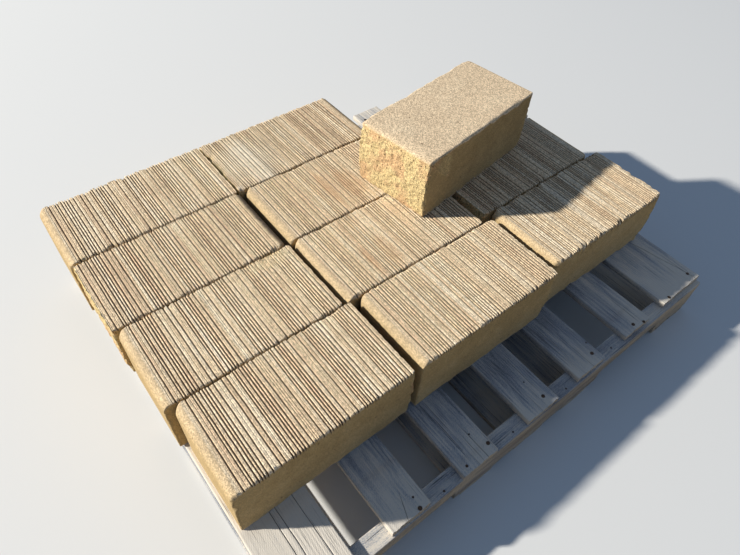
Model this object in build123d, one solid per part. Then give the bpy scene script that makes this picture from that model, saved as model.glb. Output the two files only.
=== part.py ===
from build123d import *

import os
from itertools import accumulate

# Pallet loaded with one layer of ribbed concrete blocks and one loose block on top.
# Millimetres. X runs along the stringers, Y across the pallet with the open strip of
# deck at -Y, Z up. The origin is on the floor under the middle of the pallet.

# Pallet as a whole
pallet_length = 1219.0
pallet_width = 1016.0

# Stringers: three planks on edge, each with two fork notches in its lower edge
stringer_thickness = 38.0
stringer_height = 89.0
notch_length = 229.0
notch_depth = 38.0
notch_corner_radius = 13.0
notch_end_distance = 152.0

# Deck boards: a wide lead board at each end, narrow boards between
deck_thickness = 16.0
lead_board_width = 140.0
last_board_extra = 12.0
inner_board_width = 93.0
deck_inner_count = 5
deck_side_shifts = (0.0, -4.0, -2.0, 11.0, 1.0, 4.0, 0.0)
deck_end_insets = (6.0, 4.0, 0.0, 2.0, 5.0, 9.0, 12.0)
deck_back_overhangs = (3.0, 0.0, 6.0, 0.0, 18.0, 26.0, 10.0)

# Bottom boards: lead boards at the ends, narrow boards between the notches
bottom_thickness = 16.0
bottom_inner_count = 3
bottom_inner_pitch = 160.0

# Blocks: the section lies in XZ and is carried across the width
block_length = 390.0
block_width = 200.0
block_height = 156.0
nose_radius = 16.0
nose_radii = {"loose": 26.0}
nose_corner_radius = 15.0
heel_radius = 2.0
tail_radius = 42.0
brow_radius = 2.5

# The crowned tail is the rough end, so its bulge and reach differ from block to block
tail_crown = 7.0
tail_crowns = {"a1": 1.0, "a2": 2.0, "b1": 1.0, "c4": 15.0}
tail_growths = {"c4": 15.0}

# Ribbed face: each comb gives the steps from groove to groove, starting at the end face.
# Bunches of close grooves stand between single ones, with wide lands either side.
groove_width = 4.4
groove_depth = 2.6
fine_crest = 0.9
far_margin = 5.0
close_bunch = (5.0, 8.0, 6.0, 5.3, 6.3, 9.4)
even_bunch = (5.2, 6.5, 5.3, 6.7, 7.0, 8.4)
first_comb = (
    *(23.3, 13.8, *close_bunch),
    *(15.6, 9.4, 13.8, *close_bunch),
    *(21.2, 14.0, *close_bunch),
    *(19.5, 14.3, *even_bunch),
    *(15.2, 14.2, *even_bunch),
)
second_comb = (
    *(23.3, 13.8, *close_bunch),
    *(15.5, 12.2, *even_bunch),
    *(19.0, 13.7, *even_bunch),
    *(22.2, 14.0, *even_bunch),
    *(14.5, 10.5, 14.0, *even_bunch),
)

# Layer of blocks on the deck, columns a to c along X and rows 1 to 4 towards -Y
back_margin = 37.0
row_gap = 3.3
row_insets = {1: -17.0, 2: -14.5, 3: -7.0, 4: 7.5}
end_gaps = {"b1": 1.5, "b2": 10.5, "b3": 4.0, "b4": 13.0, "c2": 12.0, "c3": 8.0, "c4": 9.5}
column_c_shift = 17.0
block_yaws = {"a1": -0.3, "a3": -0.1, "a4": 0.2, "b1": 0.3, "b2": -0.2, "c3": 0.2, "c4": -0.2}
turned_blocks = ("a2", "b1", "c3")
second_comb_blocks = ("a2", "b4", "c2")
comb_shifts = {"a2": -12.0, "b1": -18.0, "c3": -15.0}

# Loose block, ribbed face down on the layer
loose_centre_x = 228.0
loose_centre_y = 80.0
loose_yaw = 8.3

# Heights that follow from the sizes above
stringer_base = bottom_thickness
deck_base = stringer_base + stringer_height
deck_top = deck_base + deck_thickness
layer_top = deck_top + block_height


def plank(centre_x, centre_y, base, length_x, length_y, thickness):
    """A sawn board lying flat with its lower face at the height base."""
    place = Pos(centre_x, centre_y, base)
    return place * Box(
        length_x, length_y, thickness, align=(Align.CENTER, Align.CENTER, Align.MIN)
    )


def stringer(centre_y):
    """A plank on edge, its two fork notches open below with rounded upper corners."""
    notch_offset = pallet_length / 2 - notch_end_distance - notch_length / 2
    with BuildPart() as body:
        with BuildSketch(Plane.XZ):
            with Locations((0, stringer_base + stringer_height / 2)):
                Rectangle(pallet_length, stringer_height)
            with Locations(
                (-notch_offset, stringer_base + notch_depth / 2),
                (notch_offset, stringer_base + notch_depth / 2),
            ):
                Rectangle(notch_length, notch_depth, mode=Mode.SUBTRACT)
        extrude(amount=stringer_thickness / 2, both=True)
        upper_corners = (
            body.edges()
            .filter_by(Axis.Y)
            .filter_by_position(
                Axis.Z,
                stringer_base + notch_depth - 1,
                stringer_base + notch_depth + 1,
            )
        )
        fillet(upper_corners, notch_corner_radius)
    return Pos(0, centre_y, 0) * body.part


def deck_centres():
    """Centre and width of each top board, with even gaps before the side shifts.

    The lead boards stand at the ends, the last one wider towards the middle.
    """
    count = deck_inner_count
    free = pallet_length - 2 * lead_board_width - count * inner_board_width
    gap = free / (count + 1)
    widths = [lead_board_width] + [inner_board_width] * count + [lead_board_width]
    left = -pallet_length / 2
    places = []
    for index, width in enumerate(widths):
        shift = deck_side_shifts[index % len(deck_side_shifts)]
        places.append((left + width / 2 + shift, width))
        left += width + gap
    x, width = places[-1]
    places[-1] = (x - last_board_extra / 2, width + last_board_extra)
    return places


def bottom_centres():
    """Centre and width of each bottom board, the narrow ones clear of the notches."""
    end = pallet_length / 2 - lead_board_width / 2
    places = [(-end, lead_board_width)]
    for index in range(bottom_inner_count):
        middle = (bottom_inner_count - 1) / 2
        places.append(((index - middle) * bottom_inner_pitch, inner_board_width))
    places.append((end, lead_board_width))
    return places


def grooves(name):
    """Start and width of each groove of a block, measured from its nose end.

    The comb is read from the left end of the laid block. On a turned block that is
    the tail, so there the places are counted back from the other end.
    """
    comb = second_comb if name in second_comb_blocks else first_comb
    limit = face_length(name) - far_margin
    places = []
    starts = accumulate(comb)
    for start, step in zip(starts, comb[1:] + (groove_width + fine_crest,)):
        width = min(groove_width, step - fine_crest)
        start += comb_shifts.get(name, 0.0)
        if name in turned_blocks:
            start = block_length - start - width
        if start >= nose_of(name) and start + width <= limit:
            places.append((start, width))
    return sorted(places)


def nose_of(name):
    """Radius of the nose arc of a block."""
    return nose_radii.get(name, nose_radius)


def face_length(name):
    """Length of the ribbed face of a block from its nose end to the brow of the tail."""
    growth = tail_growths.get(name, 0.0)
    return block_length + growth - tail_crowns.get(name, tail_crown)


def nose_plan():
    """Plan of a block, open past the tail, with the back corner of the nose rounded."""
    plan = Rectangle(2 * block_length, block_width, align=(Align.MIN, Align.CENTER))
    plan = Pos(-block_length / 2, 0) * plan
    back_corner = plan.vertices().sort_by(Axis.X)[:2].sort_by(Axis.Y)[-1]
    return fillet(back_corner, nose_corner_radius)


def block(name):
    """A block about the middle of its plain length, on Z = 0 with the ribbed face up.

    The left end has a rounded nose above and a nearly sharp heel below, and its back
    corner is round in plan. The right end is the crowned tail, sharp at the brow and
    well rounded below.
    """
    left = -block_length / 2
    brow = left + face_length(name)
    crown = tail_crowns.get(name, tail_crown)
    crest = [(left, block_height)]
    for start, width in grooves(name):
        crest.append((left + start, block_height))
        crest.append((left + start + width / 2, block_height - groove_depth))
        crest.append((left + start + width, block_height))
    crest.append((brow, block_height))
    with BuildPart() as body:
        with BuildSketch(Plane.XZ):
            with BuildLine():
                Polyline(*crest)
                ThreePointArc((brow, block_height), (brow + crown, block_height / 2), (brow, 0))
                Polyline((brow, 0), (left, 0), (left, block_height))
            outline = make_face()
            corners = outline.vertices().sort_by(Axis.X)
            left_pair = corners[:2].sort_by(Axis.Z)
            right_pair = corners[-2:].sort_by(Axis.Z)
            fillet(left_pair[1], nose_of(name))
            fillet(left_pair[0], heel_radius)
            fillet(right_pair[1], brow_radius)
            fillet(right_pair[0], tail_radius)
        extrude(amount=block_width / 2, both=True)
    return body.part & extrude(nose_plan(), amount=2 * block_height, both=True)


def layer_places():
    """Name, centre and yaw of each block of the layer, row by row from the back."""
    row_pitch = block_width + row_gap
    back_row_y = pallet_width / 2 - back_margin - block_width / 2
    places = []
    for row, inset in row_insets.items():
        left = -pallet_length / 2 + inset
        for column in "abc":
            name = f"{column}{row}"
            if column != "a" and name not in end_gaps:
                continue
            left += end_gaps.get(name, 0.0)
            y = back_row_y - (row - 1) * row_pitch
            if column == "c":
                y += column_c_shift
            turn = 180.0 if name in turned_blocks else 0.0
            yaw = block_yaws.get(name, 0.0) + turn
            places.append((name, left + block_length / 2, y, yaw))
            left += block_length
    return places


def pallet_parts():
    """Every board and stringer of the pallet by name."""
    parts = {}
    edge = (pallet_width - stringer_thickness) / 2
    for name, y in (("front", -edge), ("middle", 0.0), ("back", edge)):
        parts[f"stringer_{name}"] = stringer(y)
    for index, (x, width) in enumerate(deck_centres(), start=1):
        inset = deck_end_insets[(index - 1) % len(deck_end_insets)]
        overhang = deck_back_overhangs[(index - 1) % len(deck_back_overhangs)]
        length = pallet_width - inset + overhang
        parts[f"deck_board_{index}"] = plank(
            x, (inset + overhang) / 2, deck_base, width, length, deck_thickness
        )
    for index, (x, width) in enumerate(bottom_centres(), start=1):
        parts[f"bottom_board_{index}"] = plank(
            x, 0.0, 0.0, width, pallet_width, bottom_thickness
        )
    return parts


def load_parts():
    """Every block of the layer and the loose block by name."""
    parts = {}
    for name, x, y, yaw in layer_places():
        parts[f"block_{name}"] = Pos(x, y, deck_top) * Rot(0, 0, yaw) * block(name)
    over = Pos(loose_centre_x, loose_centre_y, layer_top + block_height)
    parts["loose_block"] = over * Rot(0, 0, loose_yaw) * Rot(0, 180, 0) * block("loose")
    return parts


os.makedirs("parts", exist_ok=True)
for node, solid in {**pallet_parts(), **load_parts()}.items():
    export_step(solid, f"parts/{node}.step")
    print(node, [round(side, 1) for side in solid.bounding_box().size])
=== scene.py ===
"""Looks of a pallet of ribbed concrete blocks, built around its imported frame."""

import logging
import math
from dataclasses import dataclass
from enum import Enum

import bpy
import numpy as np
from bpy.types import ID, Material, NodeSocket, Object, World
from mathutils import Matrix, Vector


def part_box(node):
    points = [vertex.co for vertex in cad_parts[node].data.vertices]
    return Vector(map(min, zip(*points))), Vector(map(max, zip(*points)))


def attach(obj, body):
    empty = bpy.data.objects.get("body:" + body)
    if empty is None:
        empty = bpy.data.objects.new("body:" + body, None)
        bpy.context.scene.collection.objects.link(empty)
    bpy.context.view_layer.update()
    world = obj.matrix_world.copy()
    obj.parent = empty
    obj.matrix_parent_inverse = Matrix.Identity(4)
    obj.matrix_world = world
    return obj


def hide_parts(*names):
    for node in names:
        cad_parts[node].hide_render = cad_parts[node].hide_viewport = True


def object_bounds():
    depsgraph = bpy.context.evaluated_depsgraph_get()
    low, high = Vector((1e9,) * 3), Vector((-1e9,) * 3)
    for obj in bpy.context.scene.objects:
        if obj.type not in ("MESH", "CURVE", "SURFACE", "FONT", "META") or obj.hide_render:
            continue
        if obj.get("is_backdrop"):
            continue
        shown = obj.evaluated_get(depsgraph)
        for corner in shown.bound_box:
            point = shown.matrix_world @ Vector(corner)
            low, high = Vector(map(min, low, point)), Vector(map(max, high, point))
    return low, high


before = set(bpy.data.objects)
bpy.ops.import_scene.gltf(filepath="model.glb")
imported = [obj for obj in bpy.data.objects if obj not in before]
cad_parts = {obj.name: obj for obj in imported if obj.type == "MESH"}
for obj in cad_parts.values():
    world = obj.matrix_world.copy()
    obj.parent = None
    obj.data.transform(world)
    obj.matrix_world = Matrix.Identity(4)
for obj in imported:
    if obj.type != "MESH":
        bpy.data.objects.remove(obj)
cad_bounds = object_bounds()

MM = 0.001
Array = np.ndarray
# Large odd numbers that stir the numbers of a lattice corner, the seed and their sum
CORNER_MIX = np.array([374761393, 668265263, 1440662683])
SEED_MIX = 974634777
LAST_MIX = 1274126177
LOW_32_BITS = 0xFFFFFFFF
LOW_16_BITS = 0xFFFF
# Places and colours of a colour ramp, each colour a grey level or an sRGB hex code
Stops = tuple[tuple[float, float | str], ...]
# Places of round things seen from above, each with x, y and a radius in millimetres
Spots = tuple[tuple[float, float, float], ...]
log = logging.getLogger("pallet_of_blocks")


class NoseEnd(Enum):
    """Which end of a laid block has the rounded nose, as a sign along its length."""

    LEFT = -1.0
    RIGHT = 1.0


class Lay(Enum):
    """Which way the ribbed face of a block looks."""

    RIBS_UP = "ribs up"
    RIBS_DOWN = "ribs down"


class Edge(Enum):
    """An upper edge of a block: the front and back ones by their sign, or the tail's brow."""

    FRONT = -1.0
    BACK = 1.0
    BROW = 0.0


class Run(Enum):
    """The way a plank runs, as the heading of its length in degrees from +Y."""

    ACROSS_PALLET = 0.0
    ALONG_PALLET = -90.0


def linear_colour(code: str) -> tuple[float, float, float, float]:
    """Turns an sRGB hex code into a linear colour.

    Args:
        code: six hex digits, such as "C6A977".

    Returns:
        Red, green, blue and alpha.
    """
    parts = [int(code[start : start + 2], 16) / 255 for start in (0, 2, 4)]
    linear = [p / 12.92 if p <= 0.04045 else ((p + 0.055) / 1.055) ** 2.4 for p in parts]
    return (*linear, 1.0)


def lattice_noise(points: Array, cell: tuple[float, ...], seed: int) -> Array:
    """Smooth noise: a random number at each lattice corner, blended inside the cell.

    Args:
        points: places as (..., 3), in metres.
        cell: size of a lattice cell along the three axes, in millimetres.
        seed: picks the set of random numbers.

    Returns:
        Values from -1 to 1, one for each point.
    """
    scaled = points / (np.array(cell) * MM)
    corner = np.floor(scaled).astype(np.int64)
    share = smooth_step(scaled - corner, 0, 1)
    total = np.zeros(points.shape[:-1])
    for step in np.ndindex(2, 2, 2):
        mixed = ((corner + step) @ CORNER_MIX + seed * SEED_MIX) & LOW_32_BITS
        mixed = ((mixed ^ (mixed >> 13)) * LAST_MIX) & LOW_32_BITS
        value = ((mixed ^ (mixed >> 16)) & LOW_16_BITS) / (LOW_16_BITS / 2) - 1
        total += np.prod(np.where(step, share, 1 - share), axis=-1) * value
    return total


def smooth_step(value: Array, low: float, high: float) -> Array:
    """Rises from 0 at low to 1 at high along an s-curve."""
    share = np.clip((value - low) / (high - low), 0, 1)
    return share * share * (3 - 2 * share)


def quarter_round(depth: Array, radius: Array) -> Array:
    """Inset of a rounded edge at a distance from its face: r - sqrt(r^2 - (r - d)^2)."""
    short = np.clip(radius - depth, 0, None)
    return radius - np.sqrt(np.clip(radius**2 - short**2, 0, None))


def place(points: Array, heading: float, centre: Array | tuple[float, ...] = (0, 0, 0)) -> Array:
    """Turns points (..., 3) about +Z by a heading in radians and moves them to a centre."""
    cos, sin = math.cos(heading), math.sin(heading)
    return points @ np.array([[cos, sin, 0], [-sin, cos, 0], [0, 0, 1]]) + centre


def joined(*parts: Array | float) -> Array:
    """Joins coordinates, spread to one shape, to points or directions (..., parts)."""
    return np.stack(np.broadcast_arrays(*parts), axis=-1)


def unit(ways: Array) -> Array:
    """Scales directions (n, 2) to the length 1."""
    return ways / np.linalg.norm(ways, axis=1)[:, None].clip(1e-9)


def divided(outline: Array, spacing: Array) -> tuple[Array, Array]:
    """Splits each side of a closed outline into equal steps no longer than its spacing.

    Args:
        outline: corner points (n, 2) in order.
        spacing: longest step on the side after each corner, in metres.

    Returns:
        The points of the finer outline (m, 2), and each corner's number in it.
    """
    sides = np.roll(outline, -1, axis=0) - outline
    counts = np.ceil(np.linalg.norm(sides, axis=1) / spacing).astype(int).clip(1)
    owner = np.repeat(np.arange(len(outline)), counts)
    first = np.cumsum(counts) - counts
    share = (np.arange(len(owner)) - first[owner]) / counts[owner]
    return outline[owner] + sides[owner] * share[:, None], first


def outward(loop: Array) -> Array:
    """Outward unit normals of a closed anticlockwise loop (n, 2), from its neighbours."""
    along = np.roll(loop, -1, axis=0) - np.roll(loop, 1, axis=0)
    return unit(joined(along[:, 1], -along[:, 0]))


def softened(loop: Array, normal: Array, reach: float) -> Array:
    """Normals averaged along a closed loop, so that insets don't cross at sharp corners.

    Each is the mean of all normals, weighted by exp(-(s / reach)^2) at the distance s
    along the loop and by the length of loop that a normal stands for.

    Args:
        loop: points (n, 2) in order.
        normal: unit normal (n, 2) at each point.
        reach: distance along the loop at which a normal's weight has fallen to 1 / e.

    Returns:
        Unit directions (n, 2).
    """
    steps = np.linalg.norm(np.roll(loop, -1, axis=0) - loop, axis=1)
    along = np.cumsum(steps) - steps
    apart = np.abs(along[:, None] - along)
    apart = np.minimum(apart, steps.sum() - apart)
    return unit((np.exp(-((apart / reach) ** 2)) * (steps + np.roll(steps, 1))) @ normal)


def shown(name: str, data: ID) -> Object:
    """Puts a mesh, a lamp or a camera into the scene as an object of that name."""
    thing = bpy.data.objects.new(name, data)
    bpy.context.scene.collection.objects.link(thing)
    return thing


def skin(
    name: str, rings: Array, fields: dict[str, Array] | None = None, creases: Array | None = None
) -> Object:
    """Makes a mesh of closed tubes, each of loops one after another, with flat end faces.

    Args:
        name: name of the piece.
        rings: points (rings, points, 3), or (tubes, rings, points, 3) for several tubes,
            each loop anticlockwise seen from the tube's first end.
        fields: values for the material by name, (rings, points) or (rings, points, 3).
        creases: numbers of the loop's points along which the surface has a sharp edge.

    Returns:
        The piece, with its place in its mesh.
    """
    size = rings.shape[-2]
    index = np.arange(rings[..., 0].size).reshape(rings.shape[:-1])
    after = np.roll(index, -1, axis=-1)
    quads = joined(index[..., :-1, :], index[..., 1:, :], after[..., 1:, :], after[..., :-1, :])
    ends = np.stack([index[..., 0, :], index[..., -1, ::-1]]).reshape(-1, size)
    faces = quads.reshape(-1, 4).tolist() + ends.tolist()
    mesh = bpy.data.meshes.new(name)
    mesh.from_pydata(rings.reshape(-1, 3), [], faces)
    mesh.polygons.foreach_set("use_smooth", np.ones(len(faces), dtype=bool))
    for field_name, values in (fields or {}).items():
        kind, key = ("FLOAT_VECTOR", "vector") if values.ndim == 3 else ("FLOAT", "value")
        layer = mesh.attributes.new(field_name, kind, "POINT")
        layer.data.foreach_set(key, values.astype(np.float32).ravel())
    if creases is not None:
        tips = np.zeros(len(mesh.edges) * 2, dtype=np.int32)
        mesh.edges.foreach_get("vertices", tips)
        tips = tips.reshape(-1, 2) % size
        sharp = (tips[:, 0] == tips[:, 1]) & np.isin(tips[:, 0], creases)
        mesh.attributes.new("sharp_edge", "BOOLEAN", "EDGE").data.foreach_set("value", sharp)
    mesh.update()
    return shown(name, mesh)


def hand_over(piece: Object, material: Material, slot: str, *nodes: str) -> None:
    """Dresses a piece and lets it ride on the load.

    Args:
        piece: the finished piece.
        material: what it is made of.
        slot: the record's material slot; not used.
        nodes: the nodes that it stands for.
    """
    piece.data.materials.append(material)
    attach(piece, "root")
    if nodes:
        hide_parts(*nodes)
    triangles = len(piece.data.loops) - 2 * len(piece.data.polygons)
    log.info("%s: %d triangles", piece.name, triangles)


class NodeTree:
    """The nodes of a material or a world, added one by one with settings and links."""

    def __init__(self, owner: Material | World, shader: str = "Principled BSDF") -> None:
        """Starts with the named shader and the output that a new owner has."""
        owner.use_nodes = True
        self.owner, self.tree = owner, owner.node_tree
        self.shader = self.tree.nodes[shader]

    def add(
        self,
        kind: str,
        inputs: dict | tuple = (),
        stops: Stops = (),
        output: int | str = 0,
        **settings: object,
    ) -> NodeSocket:
        """Adds a node with its settings and links.

        Args:
            kind: the node's type without its ShaderNode prefix.
            inputs: value, hex code or socket for each input, by name or in the order of
                those in use.
            stops: places and colours of a colour ramp.
            output: name of the wanted output, or its number among those in use.
            settings: the node's own properties.

        Returns:
            The wanted output.
        """
        node = self.tree.nodes.new("ShaderNode" + kind)
        for key, value in settings.items():
            setattr(node, key, value)
        used = [socket for socket in node.inputs if socket.enabled]
        for key, value in inputs.items() if isinstance(inputs, dict) else enumerate(inputs):
            socket = used[key] if isinstance(key, int) else node.inputs[key]
            if isinstance(value, NodeSocket):
                self.tree.links.new(value, socket)
            else:
                socket.default_value = linear_colour(value) if isinstance(value, str) else value
        for number, (spot, tone) in enumerate(stops):
            elements = node.color_ramp.elements
            element = elements[number] if number < 2 else elements.new(spot)
            element.position = spot
            element.color = linear_colour(tone) if isinstance(tone, str) else (tone, tone, tone, 1.0)
        if isinstance(output, str):
            return node.outputs[output]
        return [socket for socket in node.outputs if socket.enabled][output]

    def finish(
        self, colour: NodeSocket, roughness: NodeSocket, height: NodeSocket, depth: float
    ) -> Material:
        """Joins colour, roughness and relief to the shader.

        Args:
            colour: socket of the base colour.
            roughness: socket of the roughness.
            height: socket of the relief, from 0 to 1.
            depth: how deep the whole relief is, in metres.

        Returns:
            The material.
        """
        bump = self.add("Bump", {"Height": height, "Distance": depth, "Strength": 1.0})
        for key, socket in {"Base Color": colour, "Roughness": roughness, "Normal": bump}.items():
            self.tree.links.new(socket, self.shader.inputs[key])
        return self.owner


@dataclass(frozen=True)
class CastConcrete:
    """Buff cast concrete of sand and cement, pressed in a steel mould.

    The sand gives a fine speckle and a dull, rough skin. The bottom of the grooves is
    darker, partly damp soil and partly painted shade, rib for rib the sun-faded crest is
    creamier or rosier, the bed face is a pale rosy buff, the moulded sides are darker and
    yellower, and the pits and the open-pored tail are painted dark as shade in their
    hollows. Patches of painted shade lie on some rounded ends and along the back seams.
    """

    side: Stops = ((0.36, "9B8459"), (0.5, "B69C6D"), (0.64, "C9B184"))
    bed: Stops = ((0.36, "C5AD8B"), (0.5, "D6BD9A"), (0.64, "E2CCA9"))
    crest: Stops = ((0.28, "C4A685"), (0.5, "D3BC99"), (0.74, "E8D9BE"))
    tail: Stops = ((0.38, "C5A276"), (0.5, "C8B17F"))
    speckle: Stops = ((0.25, 0.64), (0.5, 0.98), (0.8, 1.42))
    dusting: Stops = ((0.3, 0.8), (0.7, 1.18))
    pit_reach: Stops = ((0.5, 0.0), (0.8, 0.2))
    pore_reach: Stops = ((0.46, 0.0), (0.66, 0.45))
    # Share of soil and painted shade in the grooves, by their depth
    groove_dirt_and_shade: Stops = ((0.3, 0.0), (0.6, 0.62), (0.9, 0.96))
    patchiness: Stops = ((0.3, 0.45), (0.65, 1.0))
    roughness: Stops = ((0.2, 0.87), (0.8, 0.98))
    # Painted shade in the pits and pores
    pit_shade: str = "654C2E"
    # Colour of the soil and painted shade deep in the grooves
    groove: str = "4A3420"
    stain: str = "A9733F"
    bloom: str = "E4DCC9"
    # Painted shade on the rounded right ends of some blocks and along the back seams
    painted_shade: str = "62574A"
    middle_tone: float = 0.34
    pit_strength: float = 0.7
    sand_grain: float = 1.8 * MM
    dust_grain: float = 0.9 * MM
    pit_cell: float = 11.0 * MM
    patch_size: float = 9.0 * MM
    cloud: float = 60.0 * MM
    relief: float = 0.75 * MM

    def material(self) -> Material:
        """Builds the material. The sand grain, really 1 mm, is drawn 1.8 mm wide to show.

        Returns:
            The material.
        """
        nodes = NodeTree(bpy.data.materials.new("cast_concrete"))
        add = nodes.add
        field = {
            name: add("Attribute", output="Fac", attribute_name=name)
            for name in ("tone", "hue", "ribbed", "bed", "rough", "cavity", "stain", "bloom", "painted_shade")
        }
        where = add("TexCoord", output="Object")
        tilt = {"Rotation": (0.5, 0.0, 0.0), "Scale": (1.0, 1.0, 0.55)}
        slanted = add("Mapping", {"Vector": where, **tilt})
        cloud, patchy, dust, sparse, torn, streak = (
            add("TexNoise", {"Vector": vector, "Scale": scale, "Detail": detail, "Roughness": share})
            for vector, scale, detail, share in (
                (where, 1 / self.cloud, 4.0, 0.5),
                (where, 4 / self.cloud, 3.0, 0.5),
                (where, 1 / self.dust_grain, 2.0, 0.5),
                (where, 0.6 / self.pit_cell, 0.0, 0.5),
                (slanted, 2.5 / self.pit_cell, 3.0, 0.7),
                (where, 1 / self.patch_size, 3.0, 0.5),
            )
        )
        grain_tone, grain_edge, cells, small_cells = (
            add("TexVoronoi", {"Vector": vector, "Scale": scale}, output=output)
            for vector, scale, output in (
                (where, 1 / self.sand_grain, "Color"),
                (where, 1 / self.sand_grain, "Distance"),
                (slanted, 1 / self.pit_cell, "Distance"),
                (slanted, 2.2 / self.pit_cell, "Distance"),
            )
        )

        tone = field["tone"]
        for part, amount in ((cloud, 0.2), (patchy, 0.12)):
            tone = add("Math", (part, amount, tone), operation="MULTIPLY_ADD")
        tone = add("Math", (tone, self.middle_tone), operation="ADD")
        hue = add("Math", (tone, field["hue"]), operation="ADD")
        face = add("ValToRGB", (tone,), self.side)
        for name, source, stops in (
            ("bed", tone, self.bed),
            ("ribbed", hue, self.crest),
            ("rough", cloud, self.tail),
        ):
            layer = add("ValToRGB", (source,), stops)
            face = add("Mix", (field[name], face, layer), data_type="RGBA")
        share = add("Math", (field["bed"], field["rough"]), operation="MAXIMUM")
        share = add("Math", (share, 0.5, 0.5), operation="MULTIPLY_ADD")
        for part, source, stops in ((share, grain_tone, self.speckle), (1.0, dust, self.dusting)):
            layer = add("ValToRGB", (source,), stops)
            face = add("Mix", (part, face, layer), data_type="RGBA", blend_type="MULTIPLY")

        pits, pores = (
            add("Math", (near, add("ValToRGB", (spread,), stops)), operation="LESS_THAN")
            for near, spread, stops in (
                (cells, sparse, self.pit_reach),
                (small_cells, torn, self.pore_reach),
            )
        )
        pores = add("Math", (pores, field["rough"]), operation="MULTIPLY")
        pits = add("Math", (pits, self.pit_strength), operation="MULTIPLY")
        # The pits and pores are painted dark as shade
        holes = add("Math", (pits, pores), operation="MAXIMUM")
        # The grooves darken with depth: partly soil, partly painted shade
        dirt_and_shade = add("ValToRGB", (field["cavity"],), self.groove_dirt_and_shade)
        uneven = add("ValToRGB", (streak,), self.patchiness)
        layers = [(holes, self.pit_shade), (dirt_and_shade, self.groove)]
        # The patches of painted shade are uneven like the stains and the bloom
        for name, code in (("stain", self.stain), ("bloom", self.bloom), ("painted_shade", self.painted_shade)):
            layers.append((add("Math", (field[name], uneven), operation="MULTIPLY"), code))
        for part, code in layers:
            face = add("Mix", (part, face, code), data_type="RGBA")

        rough = add("ValToRGB", (dust,), self.roughness)
        ragged = add("Math", (torn, field["rough"]), operation="MULTIPLY")
        height = 0.5
        for part, amount in ((grain_edge, -0.55), (dust, 0.35), (ragged, 5.0), (holes, -0.7)):
            height = add("Math", (part, amount, height), operation="MULTIPLY_ADD")
        return nodes.finish(face, rough, height, self.relief)


@dataclass(frozen=True)
class WeatheredSoftwood:
    """Sawn softwood left outdoors until its skin has gone silver grey.

    Rain has washed the soft spring wood out between the harder summer rings, so the
    grain stands in fine ridges with dark slits. The saw has left faint arcs across the
    boards, and broken and sheltered faces still show brown wood.
    """

    weathered: Stops = ((0.4, "595C62"), (0.52, "92969C"), (0.64, "D1C8B9"))
    slit_reach: Stops = ((0.63, 0.0), (0.72, 0.8))
    roughness: Stops = ((0.3, 0.78), (0.7, 0.93))
    slit: str = "242225"
    brown: str = "8A6F50"
    brown_strength: float = 0.8
    wobble_turns: float = 3.5
    ring_pitch: float = 4.2 * MM
    saw_pitch: float = 3.6 * MM
    fibre_width: float = 1.2 * MM
    fibre_length: float = 80.0 * MM
    slit_width: float = 2.0 * MM
    wobble_width: float = 6.0 * MM
    patch_width: float = 30.0 * MM
    patch_stretch: float = 0.2
    fleck: float = 2.2 * MM
    relief: float = 0.8 * MM

    def material(self) -> Material:
        """Builds the material on the plank's own coordinates, so the grain runs along it.

        Returns:
            The material.
        """
        nodes = NodeTree(bpy.data.materials.new("weathered_softwood"))
        add = nodes.add
        field = {
            name: add("Attribute", output="Fac", attribute_name=name)
            for name in ("ring", "saw", "cavity", "broken", "tone")
        }
        own = add("Attribute", output="Vector", attribute_name="fibre")
        drawn, broad = (
            add("Mapping", {"Vector": own, "Scale": (1.0, stretch, 1.0)})
            for stretch in (self.fibre_width / self.fibre_length, self.patch_stretch)
        )
        fibres, slits, wobble, patches, fleck = (
            add("TexNoise", {"Vector": vector, "Scale": 1 / size, "Detail": detail, "Roughness": share})
            for vector, size, detail, share in (
                (drawn, self.fibre_width, 3.0, 0.7),
                (drawn, self.slit_width, 2.0, 0.5),
                (drawn, self.wobble_width, 2.0, 0.5),
                (broad, self.patch_width, 3.0, 0.5),
                (own, self.fleck, 2.0, 0.7),
            )
        )
        slits = add("ValToRGB", (slits,), self.slit_reach)
        wobble = add("Math", (wobble, self.wobble_turns), operation="MULTIPLY")
        waves = []
        for name, pitch in (("ring", self.ring_pitch), ("saw", self.saw_pitch)):
            turns = add("Math", (field[name], 2 * math.pi / pitch, wobble), operation="MULTIPLY_ADD")
            waves.append(add("Math", (turns,), operation="SINE"))
        ring, saw = waves
        tone = field["tone"]
        for part, amount in ((fibres, 0.4), (patches, 0.4), (fleck, 0.34), (ring, 0.02), (saw, 0.015)):
            tone = add("Math", (part, amount, tone), operation="MULTIPLY_ADD")
        face = add("ValToRGB", (tone,), self.weathered)
        brown = add("Math", (field["broken"], self.brown_strength), operation="MULTIPLY")
        lines = add("Math", (slits, field["cavity"]), operation="MAXIMUM")
        for part, code in ((brown, self.brown), (lines, self.slit)):
            face = add("Mix", (part, face, code), data_type="RGBA")
        rough = add("ValToRGB", (fibres,), self.roughness)
        height = 0.0
        for part, amount in ((fibres, 0.5), (ring, 0.12), (saw, 0.06), (lines, -0.6)):
            height = add("Math", (part, amount, height), operation="MULTIPLY_ADD")
        return nodes.finish(face, rough, height, self.relief)


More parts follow.
